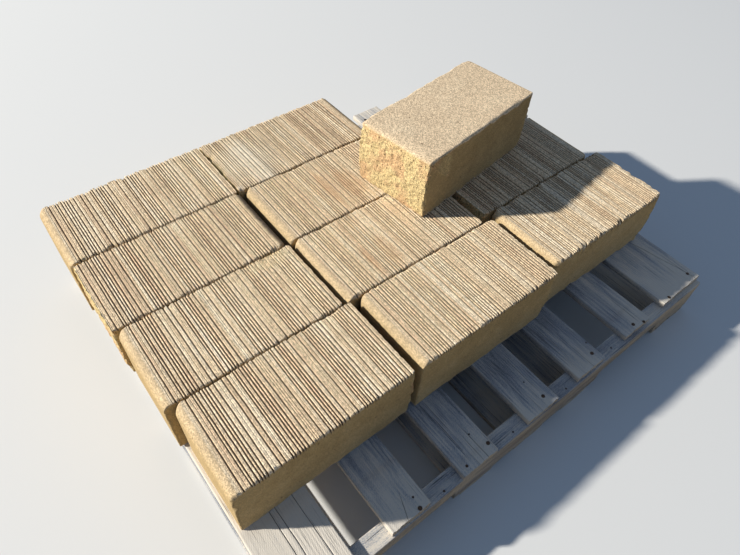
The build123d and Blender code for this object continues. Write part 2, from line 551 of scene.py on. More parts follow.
@dataclass(frozen=True)
class RustedSteel:
    """Steel nail heads that have rusted to a dull dark brown with a rough scale."""

    scale: Stops = ((0.35, "1F1B1A"), (0.7, "44342B"))
    roughness: Stops = ((0.3, 0.62), (0.7, 0.9))
    metallic: float = 0.35
    grain: float = 1.2 * MM
    relief: float = 0.25 * MM

    def material(self) -> Material:
        """Builds the material, dull because the scale scatters the light.

        Returns:
            The material.
        """
        nodes = NodeTree(bpy.data.materials.new("rusted_steel"))
        where = nodes.add("TexCoord", output="Object")
        grain = nodes.add("TexNoise", {"Vector": where, "Scale": 1 / self.grain, "Detail": 3.0})
        face = nodes.add("ValToRGB", (grain,), self.scale)
        rough = nodes.add("ValToRGB", (grain,), self.roughness)
        nodes.shader.inputs["Metallic"].default_value = self.metallic
        return nodes.finish(face, rough, grain, self.relief)


@dataclass(frozen=True)
class Patch:
    """An oval patch on the ribbed face: its middle from the left end and the front edge."""

    from_left: float
    from_front: float
    half_length: float
    half_width: float
    strength: float = 1.0
    fade: tuple[float, float] = (0.45, 1.1)

    def share(self, x: Array, y: Array, length: float, width: float) -> Array:
        """Strength over the face, fading from inside the oval to a little past its rim.

        Args:
            x: place along the block from its middle, in metres.
            y: place across the block from its middle, in metres.
            length: length of the block, in metres.
            width: width of the block, in metres.

        Returns:
            Values from 0 to the patch's strength.
        """
        across = (x + length / 2 - self.from_left * MM) / (self.half_length * MM)
        deep = (y + width / 2 - self.from_front * MM) / (self.half_width * MM)
        return self.strength * (1 - smooth_step(np.hypot(across, deep), *self.fade))


@dataclass(frozen=True)
class Chip:
    """A broken spot on an upper edge, in millimetres.

    Its place is measured along the edge from the left end, or from the front on the brow.
    """

    edge: Edge
    along: float
    half_run: float
    depth: float

    def share(self, place_along: Array) -> Array:
        """Fades from 1 at the chip's middle as exp(-(s / h)^4), at the distance s from it."""
        return np.exp(-(((place_along - self.along * MM) / (self.half_run * MM)) ** 4))


@dataclass
class CastBlock:
    """A ribbed concrete block, dressed from its own node's section."""

    node: str
    seed: int
    nose: NoseEnd = NoseEnd.LEFT
    lay: Lay = Lay.RIBS_UP
    tone: float = 0.0
    # Painted shade on the long front and back faces, as a lower tone
    painted_side_shade: float = 0.0
    # Gain on the grooves' soil and painted shade
    groove_dirt_and_shade_gain: float = 1.15
    edge_wear: float = 1.25
    brow_wear: float = 1.0
    breakout: float = 1.5
    chips: tuple[Chip, ...] = ()
    worn: tuple[Patch, ...] = ()
    stains: tuple[Patch, ...] = ()
    blooms: tuple[Patch, ...] = ()
    # Patches of painted shade
    shade_patches: tuple[Patch, ...] = ()
    corner_round: float = 15.0 * MM
    tail_round: float = 4.0 * MM
    round_reach: float = 2.15
    sharp_edge: float = 1.1 * MM
    soft_reach: float = 7.0 * MM
    nose_zone: float = 30.0 * MM
    tail_zone: float = 60.0 * MM
    eased_zone: float = 50.0 * MM
    brow_zone: float = 8.0 * MM
    line_pitch: float = 4.8 * MM
    line_width: float = 2.2 * MM
    line_depths: tuple[float, float] = (0.3, 1.3)
    crest_step: float = 3.0 * MM
    side_step: float = 6.0 * MM
    tail_step: float = 5.0 * MM
    base_step: float = 16.0 * MM
    edge_stations: tuple[float, ...] = (0.0, 0.5, 1.2, 2.2, 3.6, 5.5, 8.0, 11.0, 15.0, 19.0)
    inner_stations: int = 22
    cap_rings: tuple[float, ...] = (1.5, 5.0, 12.0, 26.0, 46.0, 66.0, 76.5)

    def own_points(self) -> Array:
        """Reads the node's corner points on the block's own axes, ribbed face up.

        The points of the long side that has no rounded corner lie on one straight line
        seen from above, and its slope is the block's heading.

        Returns:
            Points (n, 3) with the block's middle at x = y = 0 and its bed at z = 0.
        """
        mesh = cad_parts[self.node].data
        points = np.zeros(len(mesh.vertices) * 3)
        mesh.vertices.foreach_get("co", points)
        points = points.reshape(-1, 3)
        middle_y = (points[:, 1].min() + points[:, 1].max()) / 2
        side = points[(points[:, 1] - middle_y) * self.nose.value > 0]
        self.heading = math.atan(np.polyfit(side[:, 0], side[:, 1], 1)[0])
        straight = place(points, -self.heading)
        low, high = straight.min(axis=0), straight.max(axis=0)
        self.length, self.width, self.height = high - low
        middle = np.array([*((low + high) / 2)[:2], low[2]])
        self.centre = place(middle, self.heading)
        own = straight - middle
        if self.lay is Lay.RIBS_DOWN:
            own = own * (-1, 1, -1) + (0, 0, self.height)
        return own

    def with_lines(self, crest: Array) -> Array:
        """Adds the mould's shallow lines to the lands of the crest, three points for each.

        The lines stand evenly on each land, one fewer than the line pitch goes into it.

        Args:
            crest: corner points (n, 2) of the grooves, from right to left.

        Returns:
            The points with those of the lines among them.
        """
        right, left = crest[:-1], crest[1:]
        level = (right[:, 1] > self.height - MM / 50) & (left[:, 1] > self.height - MM / 50)
        lands = np.where(level, right[:, 0] - left[:, 0], 0)
        counts = np.clip(np.round(lands / self.line_pitch).astype(int) - 1, 0, None)
        owner = np.repeat(np.arange(len(lands)), counts)
        number = np.arange(len(owner)) - (np.cumsum(counts) - counts)[owner] + 1
        draw = np.random.default_rng(self.seed + 900)
        middle = left[owner, 0] + lands[owner] * number / (counts[owner] + 1)
        middle = middle + draw.uniform(-0.5, 0.5, len(owner)) * MM
        floor = self.height - draw.uniform(*self.line_depths, len(owner)) * MM
        half = draw.uniform(0.35, 0.6, len(owner)) * self.line_width
        top = np.full(len(owner), self.height)
        across = np.concatenate([middle + half, middle, middle - half])
        lines = np.stack([across, np.concatenate([top, floor, top])], axis=1)
        merged = np.concatenate([crest, lines])
        return merged[np.argsort(-merged[:, 0])]

    def outline(self) -> tuple[Array, Array, Array]:
        """Orders the section's corners into a loop and splits its sides.

        The crest of ribs is sorted from right to left. The other corners follow by
        their angle about the middle, because that part of the section bulges outward.

        Returns:
            The loop (n, 2) of x and z, a mask of the points on the ribbed crest, and
            the numbers of the points at the edges of its grooves.
        """
        own = self.own_points()
        face = own[own[:, 1] * self.nose.value > 0][:, [0, 2]]
        face = np.unique(np.round(face, 6), axis=0)
        level = face[face[:, 1] > self.height - 0.02 * MM, 0]
        on_crest = (face[:, 0] >= level.min() - MM / 100) & (face[:, 0] <= level.max() + MM / 100)
        on_crest &= face[:, 1] > self.height / 2
        crest, rest = face[on_crest], face[~on_crest]
        crest = crest[np.argsort(-crest[:, 0])]
        self.groove_depth = self.height - crest[:, 1].min()
        self.brow_x = level.max() if self.nose is NoseEnd.LEFT else level.min()
        crest = self.with_lines(crest)
        middle = np.array([0, self.height / 2])
        start = math.atan2(*(crest[-1] - middle)[::-1])
        angle = np.arctan2(*(rest - middle).T[::-1]) - start
        rest = rest[np.argsort(np.mod(angle, 2 * math.pi))]
        corners = np.concatenate([crest, rest])
        following = np.roll(corners, -1, axis=0)
        ribs = np.arange(len(corners)) < len(crest) - 1
        spacing = np.full(len(corners), self.side_step)
        spacing[corners[:, 0] * self.nose.value < self.tail_zone - self.length / 2] = self.tail_step
        spacing[ribs] = self.crest_step
        spacing[ribs & (np.abs(following[:, 1] - corners[:, 1]) > MM / 10)] = self.side_step
        spacing[(corners[:, 1] < MM / 10) & (following[:, 1] < MM / 10)] = self.base_step
        loop, first = divided(corners, spacing)
        ribbed = (loop[:, 1] > self.height - self.groove_depth - MM / 10) & (
            (loop[:, 0] >= level.min()) & (loop[:, 0] <= level.max())
        )
        sharp = np.arange(len(corners)) < len(crest)
        sharp |= (corners[:, 1] < MM / 10) & (corners[:, 0] * self.nose.value > 0)
        tail_side = loop[:, 0] * self.nose.value < self.eased_zone - self.length / 2
        tail_side &= loop[:, 1] < self.height - self.brow_zone
        for _ in range(3):
            eased = (np.roll(loop, 1, axis=0) + loop + np.roll(loop, -1, axis=0)) / 3
            loop = np.where(tail_side[:, None], eased, loop)
        return loop, ribbed, first[sharp]

    def stations(self) -> tuple[Array, Array, Array]:
        """Lists the rings from the middle of the front face to that of the back face.

        Returns:
            For each ring the end it belongs to (-1 front, 1 back), its distance from
            that end, and how far it has closed in on the middle line of the end face.
        """
        edge = np.array(self.edge_stations) * MM
        inner = np.linspace(edge[-1], self.width / 2, self.inner_stations + 1)[1:]
        depth = np.concatenate([edge, inner])
        closing = np.array(self.cap_rings) * MM / (self.height / 2)
        count = len(closing) + len(depth)
        ends = np.repeat([-1.0, 1.0], [count, count - 1])
        depths = np.concatenate([0 * closing, depth, depth[-2::-1], 0 * closing])
        closings = np.concatenate([closing[::-1], 0 * depth, 0 * depth[1:], closing])
        return ends, depths, closings

    def patches(self, patches: tuple[Patch, ...], x: Array, y: Array) -> Array:
        """Adds up the strength of some patches over the ribbed face."""
        return sum((patch.share(x, y, self.length, self.width) for patch in patches), 0 * x)

    def rounded_in_plan(self, x: Array, ends: Array, depth: Array) -> Array:
        """Draws the ends in where an upright corner is round, on the section's x.

        The inset p of a quarter circle of radius r, at the ring's distance from the side
        face, is spread along the block: a point at the distance s from the end face
        moves by p (1 - s / (2.15 r))^2.

        Args:
            x: places along the block, (rings, points).
            ends: end that each ring belongs to, -1 front or 1 back, (rings, 1).
            depth: distance of each ring from that end, (rings, 1).

        Returns:
            The new places along the block.
        """
        sign = self.nose.value
        for toward, from_middle, radius in (
            (sign, self.length / 2, np.where(ends * sign < 0, self.corner_round, self.sharp_edge)),
            (-sign, abs(self.brow_x), np.full(ends.shape, self.tail_round)),
        ):
            from_end = np.clip(from_middle - x * toward, 0, None)
            fade = np.clip(1 - from_end / (self.round_reach * radius), 0, 1) ** 2
            x = x - toward * quarter_round(depth, radius) * fade
        return x

    def surface(self) -> tuple[Array, dict[str, Array], Array]:
        """Carries the section across the block and wears its edges and faces.

        A point starts on the section. On the crest it is lowered by its groove's depth,
        which wanders along the groove, shrinks on worn patches and grows towards the
        side faces as exp(-d / 4 mm) at the distance d, where the groove has broken out.
        Upright corners are drawn in by their round. Near a side face the point moves
        inward along the section's softened normal by the quarter round of the sharp
        edge, and by a further 1.3 (w - d) where crumbling, flaking, groove ends and chips
        have worn the edge back by w. On the side face it moves in a straight line
        towards the middle line of the section. At last noise moves it along its normal,
        most on the open-pored tail, and the brow is torn.

        The bed field is |nz|^1.5 for the normal's height nz, less on the upper nose. The
        nose end is painted darker by 0.13 sqrt(nx) as painted shade, and the ribbed face is
        painted darker along its back seam as painted shade between the rows.

        Returns:
            The rings (rings, points, 3) on the block's own axes, the fields, and the
            numbers of the loop's sharp points.
        """
        loop, ribbed, creases = self.outline()
        hull = joined(loop[:, 0], np.where(ribbed, self.height, loop[:, 1]))
        normal = outward(hull)
        soft = softened(hull, normal, self.soft_reach)
        groove = ribbed * (self.height - loop[:, 1]) / self.groove_depth
        ends, depth, closing = (values[:, None] for values in self.stations())
        on_side = closing == 0
        y = ends * (self.width / 2 - depth)
        x = np.broadcast_to(loop[:, 0], (len(y), len(loop)))
        flat = joined(x, y, 0 * x)
        at_end = joined(x, ends * self.width / 2, hull[:, 1])

        def noise(cell: tuple[float, ...], number: int, points: Array = flat) -> Array:
            """Noise of this block with a cell in millimetres."""
            return lattice_noise(points, cell, self.seed * 31 + number)

        worn = self.patches(self.worn, x, y)
        worn = np.clip(worn * (1 + 0.5 * noise((9, 9, 9), 1)), 0, 1)
        lowered = self.groove_depth * groove * (1 + 0.25 * noise((7, 45, 9), 2)) * (1 - 0.8 * worn)
        uneven = 0.22 + 0.22 * noise((8, 120, 9), 3) + 0.08 * noise((3, 6, 9), 4)
        lowered = lowered + ribbed * MM * (uneven + worn * (0.7 + 0.5 * noise((3, 3, 9), 6)))
        broken_out = np.exp(-depth / (4 * MM)) * self.breakout * self.edge_wear * MM
        broken_out = broken_out * np.where(ends < 0, 1, 0.5)
        lowered = lowered + groove * broken_out * np.clip(0.9 + 1.3 * noise((6, 9, 9), 20), 0.1, 3)
        x = x + ribbed * MM * 0.3 * noise((5, 30, 9), 7)
        z = np.where(ribbed, self.height - lowered, loop[:, 1])
        x = self.rounded_in_plan(x, ends, depth)

        crumble = (0.5 + 0.5 * noise((5.5, 9, 7), 8, at_end)) ** 2 * 4.5
        flaking = np.clip(noise((21, 9, 21), 9, at_end) - 0.3, 0, 1) * 6.0
        notched = groove * (1.8 + 1.8 * noise((9, 9, 9), 19, at_end))
        worn_back = (crumble + flaking + notched) * self.edge_wear * MM
        from_top = self.height - hull[:, 1] if self.lay is Lay.RIBS_UP else hull[:, 1]
        upper = 1 - smooth_step(from_top, 8 * MM, 30 * MM)
        broken = 0 * x
        for chip in (chip for chip in self.chips if chip.edge is not Edge.BROW):
            share = chip.share(loop[:, 0] + self.length / 2) * upper * (ends == chip.edge.value)
            worn_back = worn_back + share * chip.depth * MM
            broken = broken + share * np.exp(-depth / (chip.depth * MM))
        inset = quarter_round(depth, self.sharp_edge) + 1.3 * np.clip(worn_back - depth, 0, None)
        x = x - inset * soft[:, 0]
        z = z - inset * soft[:, 1]
        middle_line = self.length / 2 - self.height / 2
        x = x + (np.clip(x, -middle_line, middle_line) - x) * closing
        z = z + (self.height / 2 - z) * closing

        toward_tail = np.clip(-normal[:, 0] * self.nose.value, 0, 1) ** 2
        rough = smooth_step(toward_tail, 0.6, 0.96) * on_side
        base = joined(x, y, z)
        swell = 0.25 * noise((45, 45, 45), 10, base) + 0.1 * noise((6, 6, 6), 11, base)
        swell = swell * smooth_step(z, 0, 6 * MM) * (1 - 0.9 * ribbed * on_side)
        open_tail = noise((9, 9, 13), 12, base) + 0.8 * noise((4.5, 4.5, 6), 13, base)
        swell = swell + rough * (open_tail - 0.5) * 2.0
        from_brow = np.sum((hull - (self.brow_x, self.height)) ** 2, axis=1)
        near_brow, wide_brow = (np.exp(-from_brow / (reach * MM) ** 2) for reach in (5, 10))
        ragged = 0.5 + 0.5 * noise((30, 5, 30), 14, base)
        flaked = np.clip(noise((30, 20, 30), 15, base) - 0.4, 0, 1) * 2.5
        torn = near_brow * (ragged**2 * 2.2 + flaked) * self.brow_wear
        for chip in (chip for chip in self.chips if chip.edge is Edge.BROW):
            share = chip.share(y + self.width / 2)
            torn = torn + wide_brow * share * chip.depth * (1 + 0.3 * noise((30, 6, 30), 16, base))
            broken = broken + share * wide_brow
        swell = swell - torn * on_side
        tilt = np.clip(1 - depth / self.sharp_edge, 0, 1)
        lean = np.sqrt(1 - tilt**2)
        edge_ways = joined(soft[:, 0] * lean, ends * tilt, soft[:, 1] * lean)
        ways = np.where(on_side[..., None], edge_ways, joined(0 * x, ends, 0 * x))
        rings = base + swell[..., None] * MM * ways
        rings[..., 2] = np.clip(rings[..., 2], 0, self.height)

        rim = np.exp(-(depth + closing * self.height / 2) / (3 * MM))
        on_top = ribbed * on_side
        gone = np.clip(broken, 0, 1)
        deep = lowered / self.groove_depth
        near_nose = hull[:, 0] * self.nose.value > self.length / 2 - self.nose_zone
        toward_nose = np.sqrt(np.clip(normal[:, 0] * self.nose.value, 0, 1)) * near_nose
        upper_nose = near_nose & (hull[:, 1] > self.height / 2)
        bed = np.abs(normal[:, 1]) ** 1.5 * np.where(upper_nose, 0.6, 1) + 0.15 * toward_nose
        # Painted shade along the back seam between the rows, uneven along it
        seam_unevenness = np.clip(0.4 + noise((14, 9, 9), 21, at_end), 0, 1)
        seam_shade = np.exp(-depth / (2.2 * MM)) * (ends > 0) * seam_unevenness
        fields = {
            "ribbed": on_top * (1 - gone),
            "bed": bed * on_side,
            # Deep in the grooves: soil and painted shade
            "cavity": on_top * np.clip(deep * self.groove_dirt_and_shade_gain, 0, 1) * (1 - 0.6 * worn),
            "rough": np.clip(rough + 0.35 * worn * on_top + 0.8 * broken, 0, 1),
            "stain": on_top * self.patches(self.stains, x, y),
            "bloom": on_top * self.patches(self.blooms, x, y) * (1 - np.clip(deep * 1.6, 0, 1)),
            "painted_shade": self.patches(self.shade_patches, x, y) + on_top * seam_shade,
            # The nose end gets painted shade, 0.13 sqrt(nx) darker as its face turns to the end
            "tone": self.tone + 0.04 * rim - 0.06 * gone - 0.13 * toward_nose * on_side
            # Painted shade on the long front and back faces
            + self.painted_side_shade * (closing > 0),
            "hue": on_top * (0.13 * noise((5.2, 300, 9), 17) + 0.06 * noise((17, 200, 9), 18)),
        }
        return rings, {name: np.broadcast_to(values, x.shape) for name, values in fields.items()}, creases

    def build(self, material: Material) -> None:
        """Makes the piece and lets it stand for its node.

        Args:
            material: the concrete.
        """
        rings, fields, creases = self.surface()
        if self.lay is Lay.RIBS_DOWN:
            rings = (rings - (0, 0, self.height)) * (-1, 1, -1)
        rings = place(rings, self.heading, self.centre)
        piece = skin("cast_" + self.node, rings, fields, creases)
        hand_over(piece, material, "concrete", self.node)


@dataclass(frozen=True)
class DryingCheck:
    """A crack along the grain, in millimetres from the left edge and the first end."""

    across: float
    start: float
    end: float
    depth: float = 3.0
    width: float = 1.6
    lean: float = 0.0


@dataclass(frozen=True)
class Knot:
    """A knot in the face, about which the grain swirls, in millimetres from the first end."""

    across: float
    along: float
    size: float = 18.0


@dataclass
class Plank:
    """A weathered plank carried along its length, with checks, knots and broken ends."""

    node: str
    seed: int
    run: Run = Run.ACROSS_PALLET
    tone: float = 0.0
    brown_sides: float = 0.15
    checks: tuple[DryingCheck, ...] = ()
    knots: tuple[Knot, ...] = ()
    face_step: float = 2.4 * MM
    side_step: float = 4.0 * MM
    station_step: float = 9.0 * MM
    corner: float = 1.3 * MM
    check_fade: float = 30.0 * MM
    cupping: float = 0.35
    nibbled: float = 1.3
    ragged: float = 1.1
    # Lighter towards the ends: partly sun bleaching, partly painted light against the shade under the load
    end_bleach_and_light: float = 0.18
    bleached_reach: float = 110.0 * MM
    pith_depth: float = 60.0 * MM
    saw_radius: float = 260.0 * MM
    end_stations: tuple[float, ...] = (0.0, 0.8, 2.0, 4.0, 7.0)
    cap_rings: tuple[float, ...] = (0.2, 0.55, 0.9)

    def measure(self) -> None:
        """Reads the plank's sizes and middle from its node."""
        low, high = (np.array(corner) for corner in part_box(self.node))
        across, along, self.thickness = high - low
        self.width, self.length = (across, along) if self.run is Run.ACROSS_PALLET else (along, across)
        self.centre = np.array([*((low + high) / 2)[:2], low[2]])

    def loop(self) -> tuple[Array, Array]:
        """Section of the plank, with three more points where each check runs.
        """
        half, top = self.width / 2 - self.corner, self.thickness - self.corner
        count = max(int(2 * half / self.face_step), 2)
        across = np.linspace(half, -half, count)
        owner = np.full(count, -1)
        for number, check in enumerate(self.checks):
            line = check.across * MM - self.width / 2
            reach = check.width / 2 * MM
            kept = abs(across - line) > reach * 1.4
            across = np.append(across[kept], [line + reach, line, line - reach])
            owner = np.append(owner[kept], [-1, number, -1])
        order = np.argsort(-across)
        across, owner = across[order], owner[order]
        side = np.linspace(top, self.corner, max(int((top - self.corner) / self.side_step), 2))
        below = np.linspace(-half, half, max(count // 3, 2))
        upper = joined(across, self.thickness)
        left, right = joined(-self.width / 2, side), joined(self.width / 2, side[::-1])
        points = np.concatenate([upper, left, joined(below, 0.0), right])
        return points, np.concatenate([owner, np.full(len(points) - len(owner), -1)])

    def floor_line(self, along: Array) -> Array:
        """Height of the plank's lower edge at each place along it."""
        return 0 * along

    def along_places(self) -> Array:
        """Lists the stations along the plank, closer together at the ends.

        Returns:
            Their distances from its first end, in metres.
        """
        ends = np.array(self.end_stations) * MM
        count = int((self.length - 2 * ends[-1]) / self.station_step)
        inner = np.linspace(ends[-1], self.length - ends[-1], count + 1)[1:-1]
        return np.concatenate([ends, inner, self.length - ends[::-1]])

    def surface(self) -> tuple[Array, dict[str, Array]]:
        """Carries the section along the plank and weathers it.

        Each station's section is lowered at the checks, its edges wander a little, its
        top is cupped by 1 - (2 u / w)^2 at the distance u from its middle, and the end
        stations are pushed in by noise so that the ends are ragged. The end faces close
        in on a middle line, half the shorter side away from the edges. The distance to
        the pith, bent round each knot, gives the rings their place, and the distance to
        a far point beside the plank gives the saw's arcs theirs.

        Returns:
            The rings (rings, points, 3) on the plank's own axes, and the fields.
        """
        self.measure()
        points, owners = self.loop()
        along = self.along_places()
        closing = np.concatenate([self.cap_rings[::-1], 0 * along, self.cap_rings])[:, None]
        along = np.pad(along, len(self.cap_rings), mode="edge")[:, None]
        u = np.broadcast_to(points[:, 0], (len(along), len(points)))
        v = along + 0 * u
        z = np.broadcast_to(points[:, 1], u.shape)
        solid = joined(u, v, z)

        def noise(cell: tuple[float, ...], number: int) -> Array:
            """Noise of this plank with a cell in millimetres."""
            return lattice_noise(solid, cell, self.seed * 57 + number)

        cavity = 0 * u
        wander = 0 * u
        for number, check in enumerate(self.checks):
            start, end = check.start * MM, check.end * MM
            opened = smooth_step(v, start, start + self.check_fade)
            opened = opened * (1 - smooth_step(v, end - self.check_fade, end))
            leaning = check.lean * (np.clip(v, start, end) - (start + end) / 2)
            line = check.across * MM - self.width / 2
            room = np.where(u > line, self.width / 2 - line, self.width / 2 + line)
            near = np.exp(-(((u - line) / (4 * MM)) ** 2))
            wander = wander + near * opened * noise((400, 45, 400), 20 + number) * 1.2 * MM
            wander = wander + np.clip(1 - np.abs(u - line) / room, 0, 1) * leaning
            cavity = cavity + (owners == number) * opened
        edge_ward = np.abs(u) > self.width / 2 - 3 * MM
        nibble = np.clip(noise((300, 26, 9), 2) - 0.5, 0, 1) * self.nibbled * MM
        u = u + wander - np.sign(u) * edge_ward * (nibble + 0.25 * MM * (1 + noise((300, 120, 30), 3)))
        base = self.floor_line(v)
        z = base + z / self.thickness * (self.thickness - base)
        grain = 0.18 * noise((4, 260, 30), 4) + 0.14 * noise((11, 500, 30), 5)
        cup = self.cupping * (1 - (2 * u / self.width) ** 2)
        z = z - (points[:, 1] > self.thickness / 2) * (np.clip(cup - grain, 0, 2) + 0.1) * MM
        z = z - cavity * np.array([check.depth * MM for check in self.checks] + [0.0])[owners]
        first = v < self.length / 2
        from_end = np.where(first, v, self.length - v)
        frayed = 0.6 + noise((7, 900, 30), 6) + 0.6 * noise((2.5, 900, 9), 7)
        shorter = np.clip(self.ragged * frayed, 0, None) * MM * (1 - smooth_step(from_end, 0, 12 * MM))
        v = v + np.where(first, shorter, -shorter)
        half = np.minimum(self.width, self.thickness - base) / 2
        middle_line = self.width / 2 - half
        u = u + (np.clip(u, -middle_line, middle_line) - u) * closing
        z = z + (np.clip(z, base + half, self.thickness - half) - z) * closing

        draw = np.random.default_rng(self.seed)
        pith = draw.uniform(-0.35, 0.35) * self.width
        ring = np.hypot(u - pith + 6 * MM * noise((900, 400, 900), 8), z + self.pith_depth)
        for knot in self.knots:
            away = np.hypot(u + self.width / 2 - knot.across * MM, (v - knot.along * MM) * 0.45)
            ring = ring + 6 * MM * np.exp(-((away / (knot.size * MM)) ** 2))
        from_hub = v - draw.uniform(0.15, 0.3) * self.length
        turned = np.round(from_hub / self.saw_radius) * 0.2 * self.saw_radius
        on_edge = np.abs(solid[..., 0]) > self.width / 2 - MM / 10
        sheltered = self.brown_sides * on_edge * (0.75 + 0.25 * noise((90, 90, 40), 10))
        fields = {
            "fibre": joined(u + self.seed * 0.7, v, z),
            "ring": ring,
            "saw": np.hypot(u + self.saw_radius, from_hub - turned),
            "cavity": np.clip(cavity, 0, 1) * (closing == 0),
            "broken": np.clip(nibble / (2 * MM) + (closing > 0) * 0.4 + sheltered, 0, 1),
            # Lighter towards the ends: partly sun bleaching, partly painted light
            "tone": self.tone
            + self.end_bleach_and_light * np.exp(-from_end / self.bleached_reach)
            + 0.03 * noise((60, 220, 60), 9),
        }
        return joined(u, v - self.length / 2, z), fields

    def build(self, material: Material) -> None:
        """Makes the piece and lets it stand for its node.

        Args:
            material: the wood.
        """
        rings, fields = self.surface()
        rings = place(rings, math.radians(self.run.value), self.centre)
        hand_over(skin("sawn_" + self.node, rings, fields), material, "weathered_wood", self.node)


@dataclass
class Stringer(Plank):
    """A plank on edge along the pallet, with two fork notches in its lower edge."""

    run: Run = Run.ALONG_PALLET
    brown_sides: float = 0.55
    nibbled: float = 0.8
    side_step: float = 6.0 * MM
    notch_end: float = 152.0 * MM
    notch_length: float = 229.0 * MM
    notch_depth: float = 38.0 * MM
    notch_corner: float = 13.0 * MM
    wall_step: float = 0.2 * MM

    def walls(self) -> Array:
        """Places of the four notch walls along the stringer."""
        near = np.array([self.notch_end, self.notch_end + self.notch_length])
        return np.concatenate([near, self.length - near[::-1]])

    def floor_line(self, along: Array) -> Array:
        """Height of the lower edge: a quarter circle at each corner of a notch, then flat.

        Args:
            along: places along the stringer, from its first end.

        Returns:
            The height at each place, 0 outside the notches.
        """
        walls = self.walls()
        from_wall = np.maximum(
            np.minimum(along - walls[0], walls[1] - along),
            np.minimum(along - walls[2], walls[3] - along),
        )
        short = np.clip(self.notch_corner - from_wall, 0, self.notch_corner)
        rise = self.notch_depth - self.notch_corner + np.sqrt(self.notch_corner**2 - short**2)
        return np.where(from_wall > 0, rise, 0.0)

    def along_places(self) -> Array:
        """Lists the plank's stations, with more of them about the notch walls.

        Returns:
            Their distances from the stringer's first end, in metres.
        """
        around = np.array([-self.wall_step, self.wall_step, 1.5 * MM, 4 * MM, 8 * MM, self.notch_corner])
        walls = self.walls()
        extra = np.concatenate([walls[0] + around, walls[1] - around, walls[2] + around, walls[3] - around])
        plain = super().along_places()
        clear = np.abs(plain[:, None] - walls).min(axis=1) > 4 * MM
        return np.sort(np.concatenate([plain[clear], extra]))


@dataclass
class NailHeads:
    """Round nail heads and nail holes, slightly domed and almost flush with the wood."""

    places: Spots
    level: float
    name: str = "nail_heads"
    dome: float = 0.9 * MM
    around: int = 16

    def build(self, material: Material) -> None:
        """Makes all heads as one mesh: each is a dome z = h (1 - r^4) with a short rim.

        The rings of one head are computed once, then scaled by each head's radius and
        moved to its place as an array.

        Args:
            material: the nails' steel.
        """
        share = np.array([0.5, 0.8, 0.96, 1.0, 1.0])[:, None]
        lift = np.array([1.0, 0.85, 0.55, 0.2, -1.2])[:, None] * self.dome
        angle = np.linspace(0, 2 * math.pi, self.around, endpoint=False)
        head = joined(share * np.cos(angle), share * np.sin(angle), lift)
        spots = np.array(self.places) * MM
        sizes = spots[:, 2, None] * (1, 1, 0) + (0, 0, 1)
        centres = spots * (1, 1, 0) + (0, 0, self.level)
        heads = head[None] * sizes[:, None, None] + centres[:, None, None]
        hand_over(skin(self.name, heads), material, "weathered_wood")


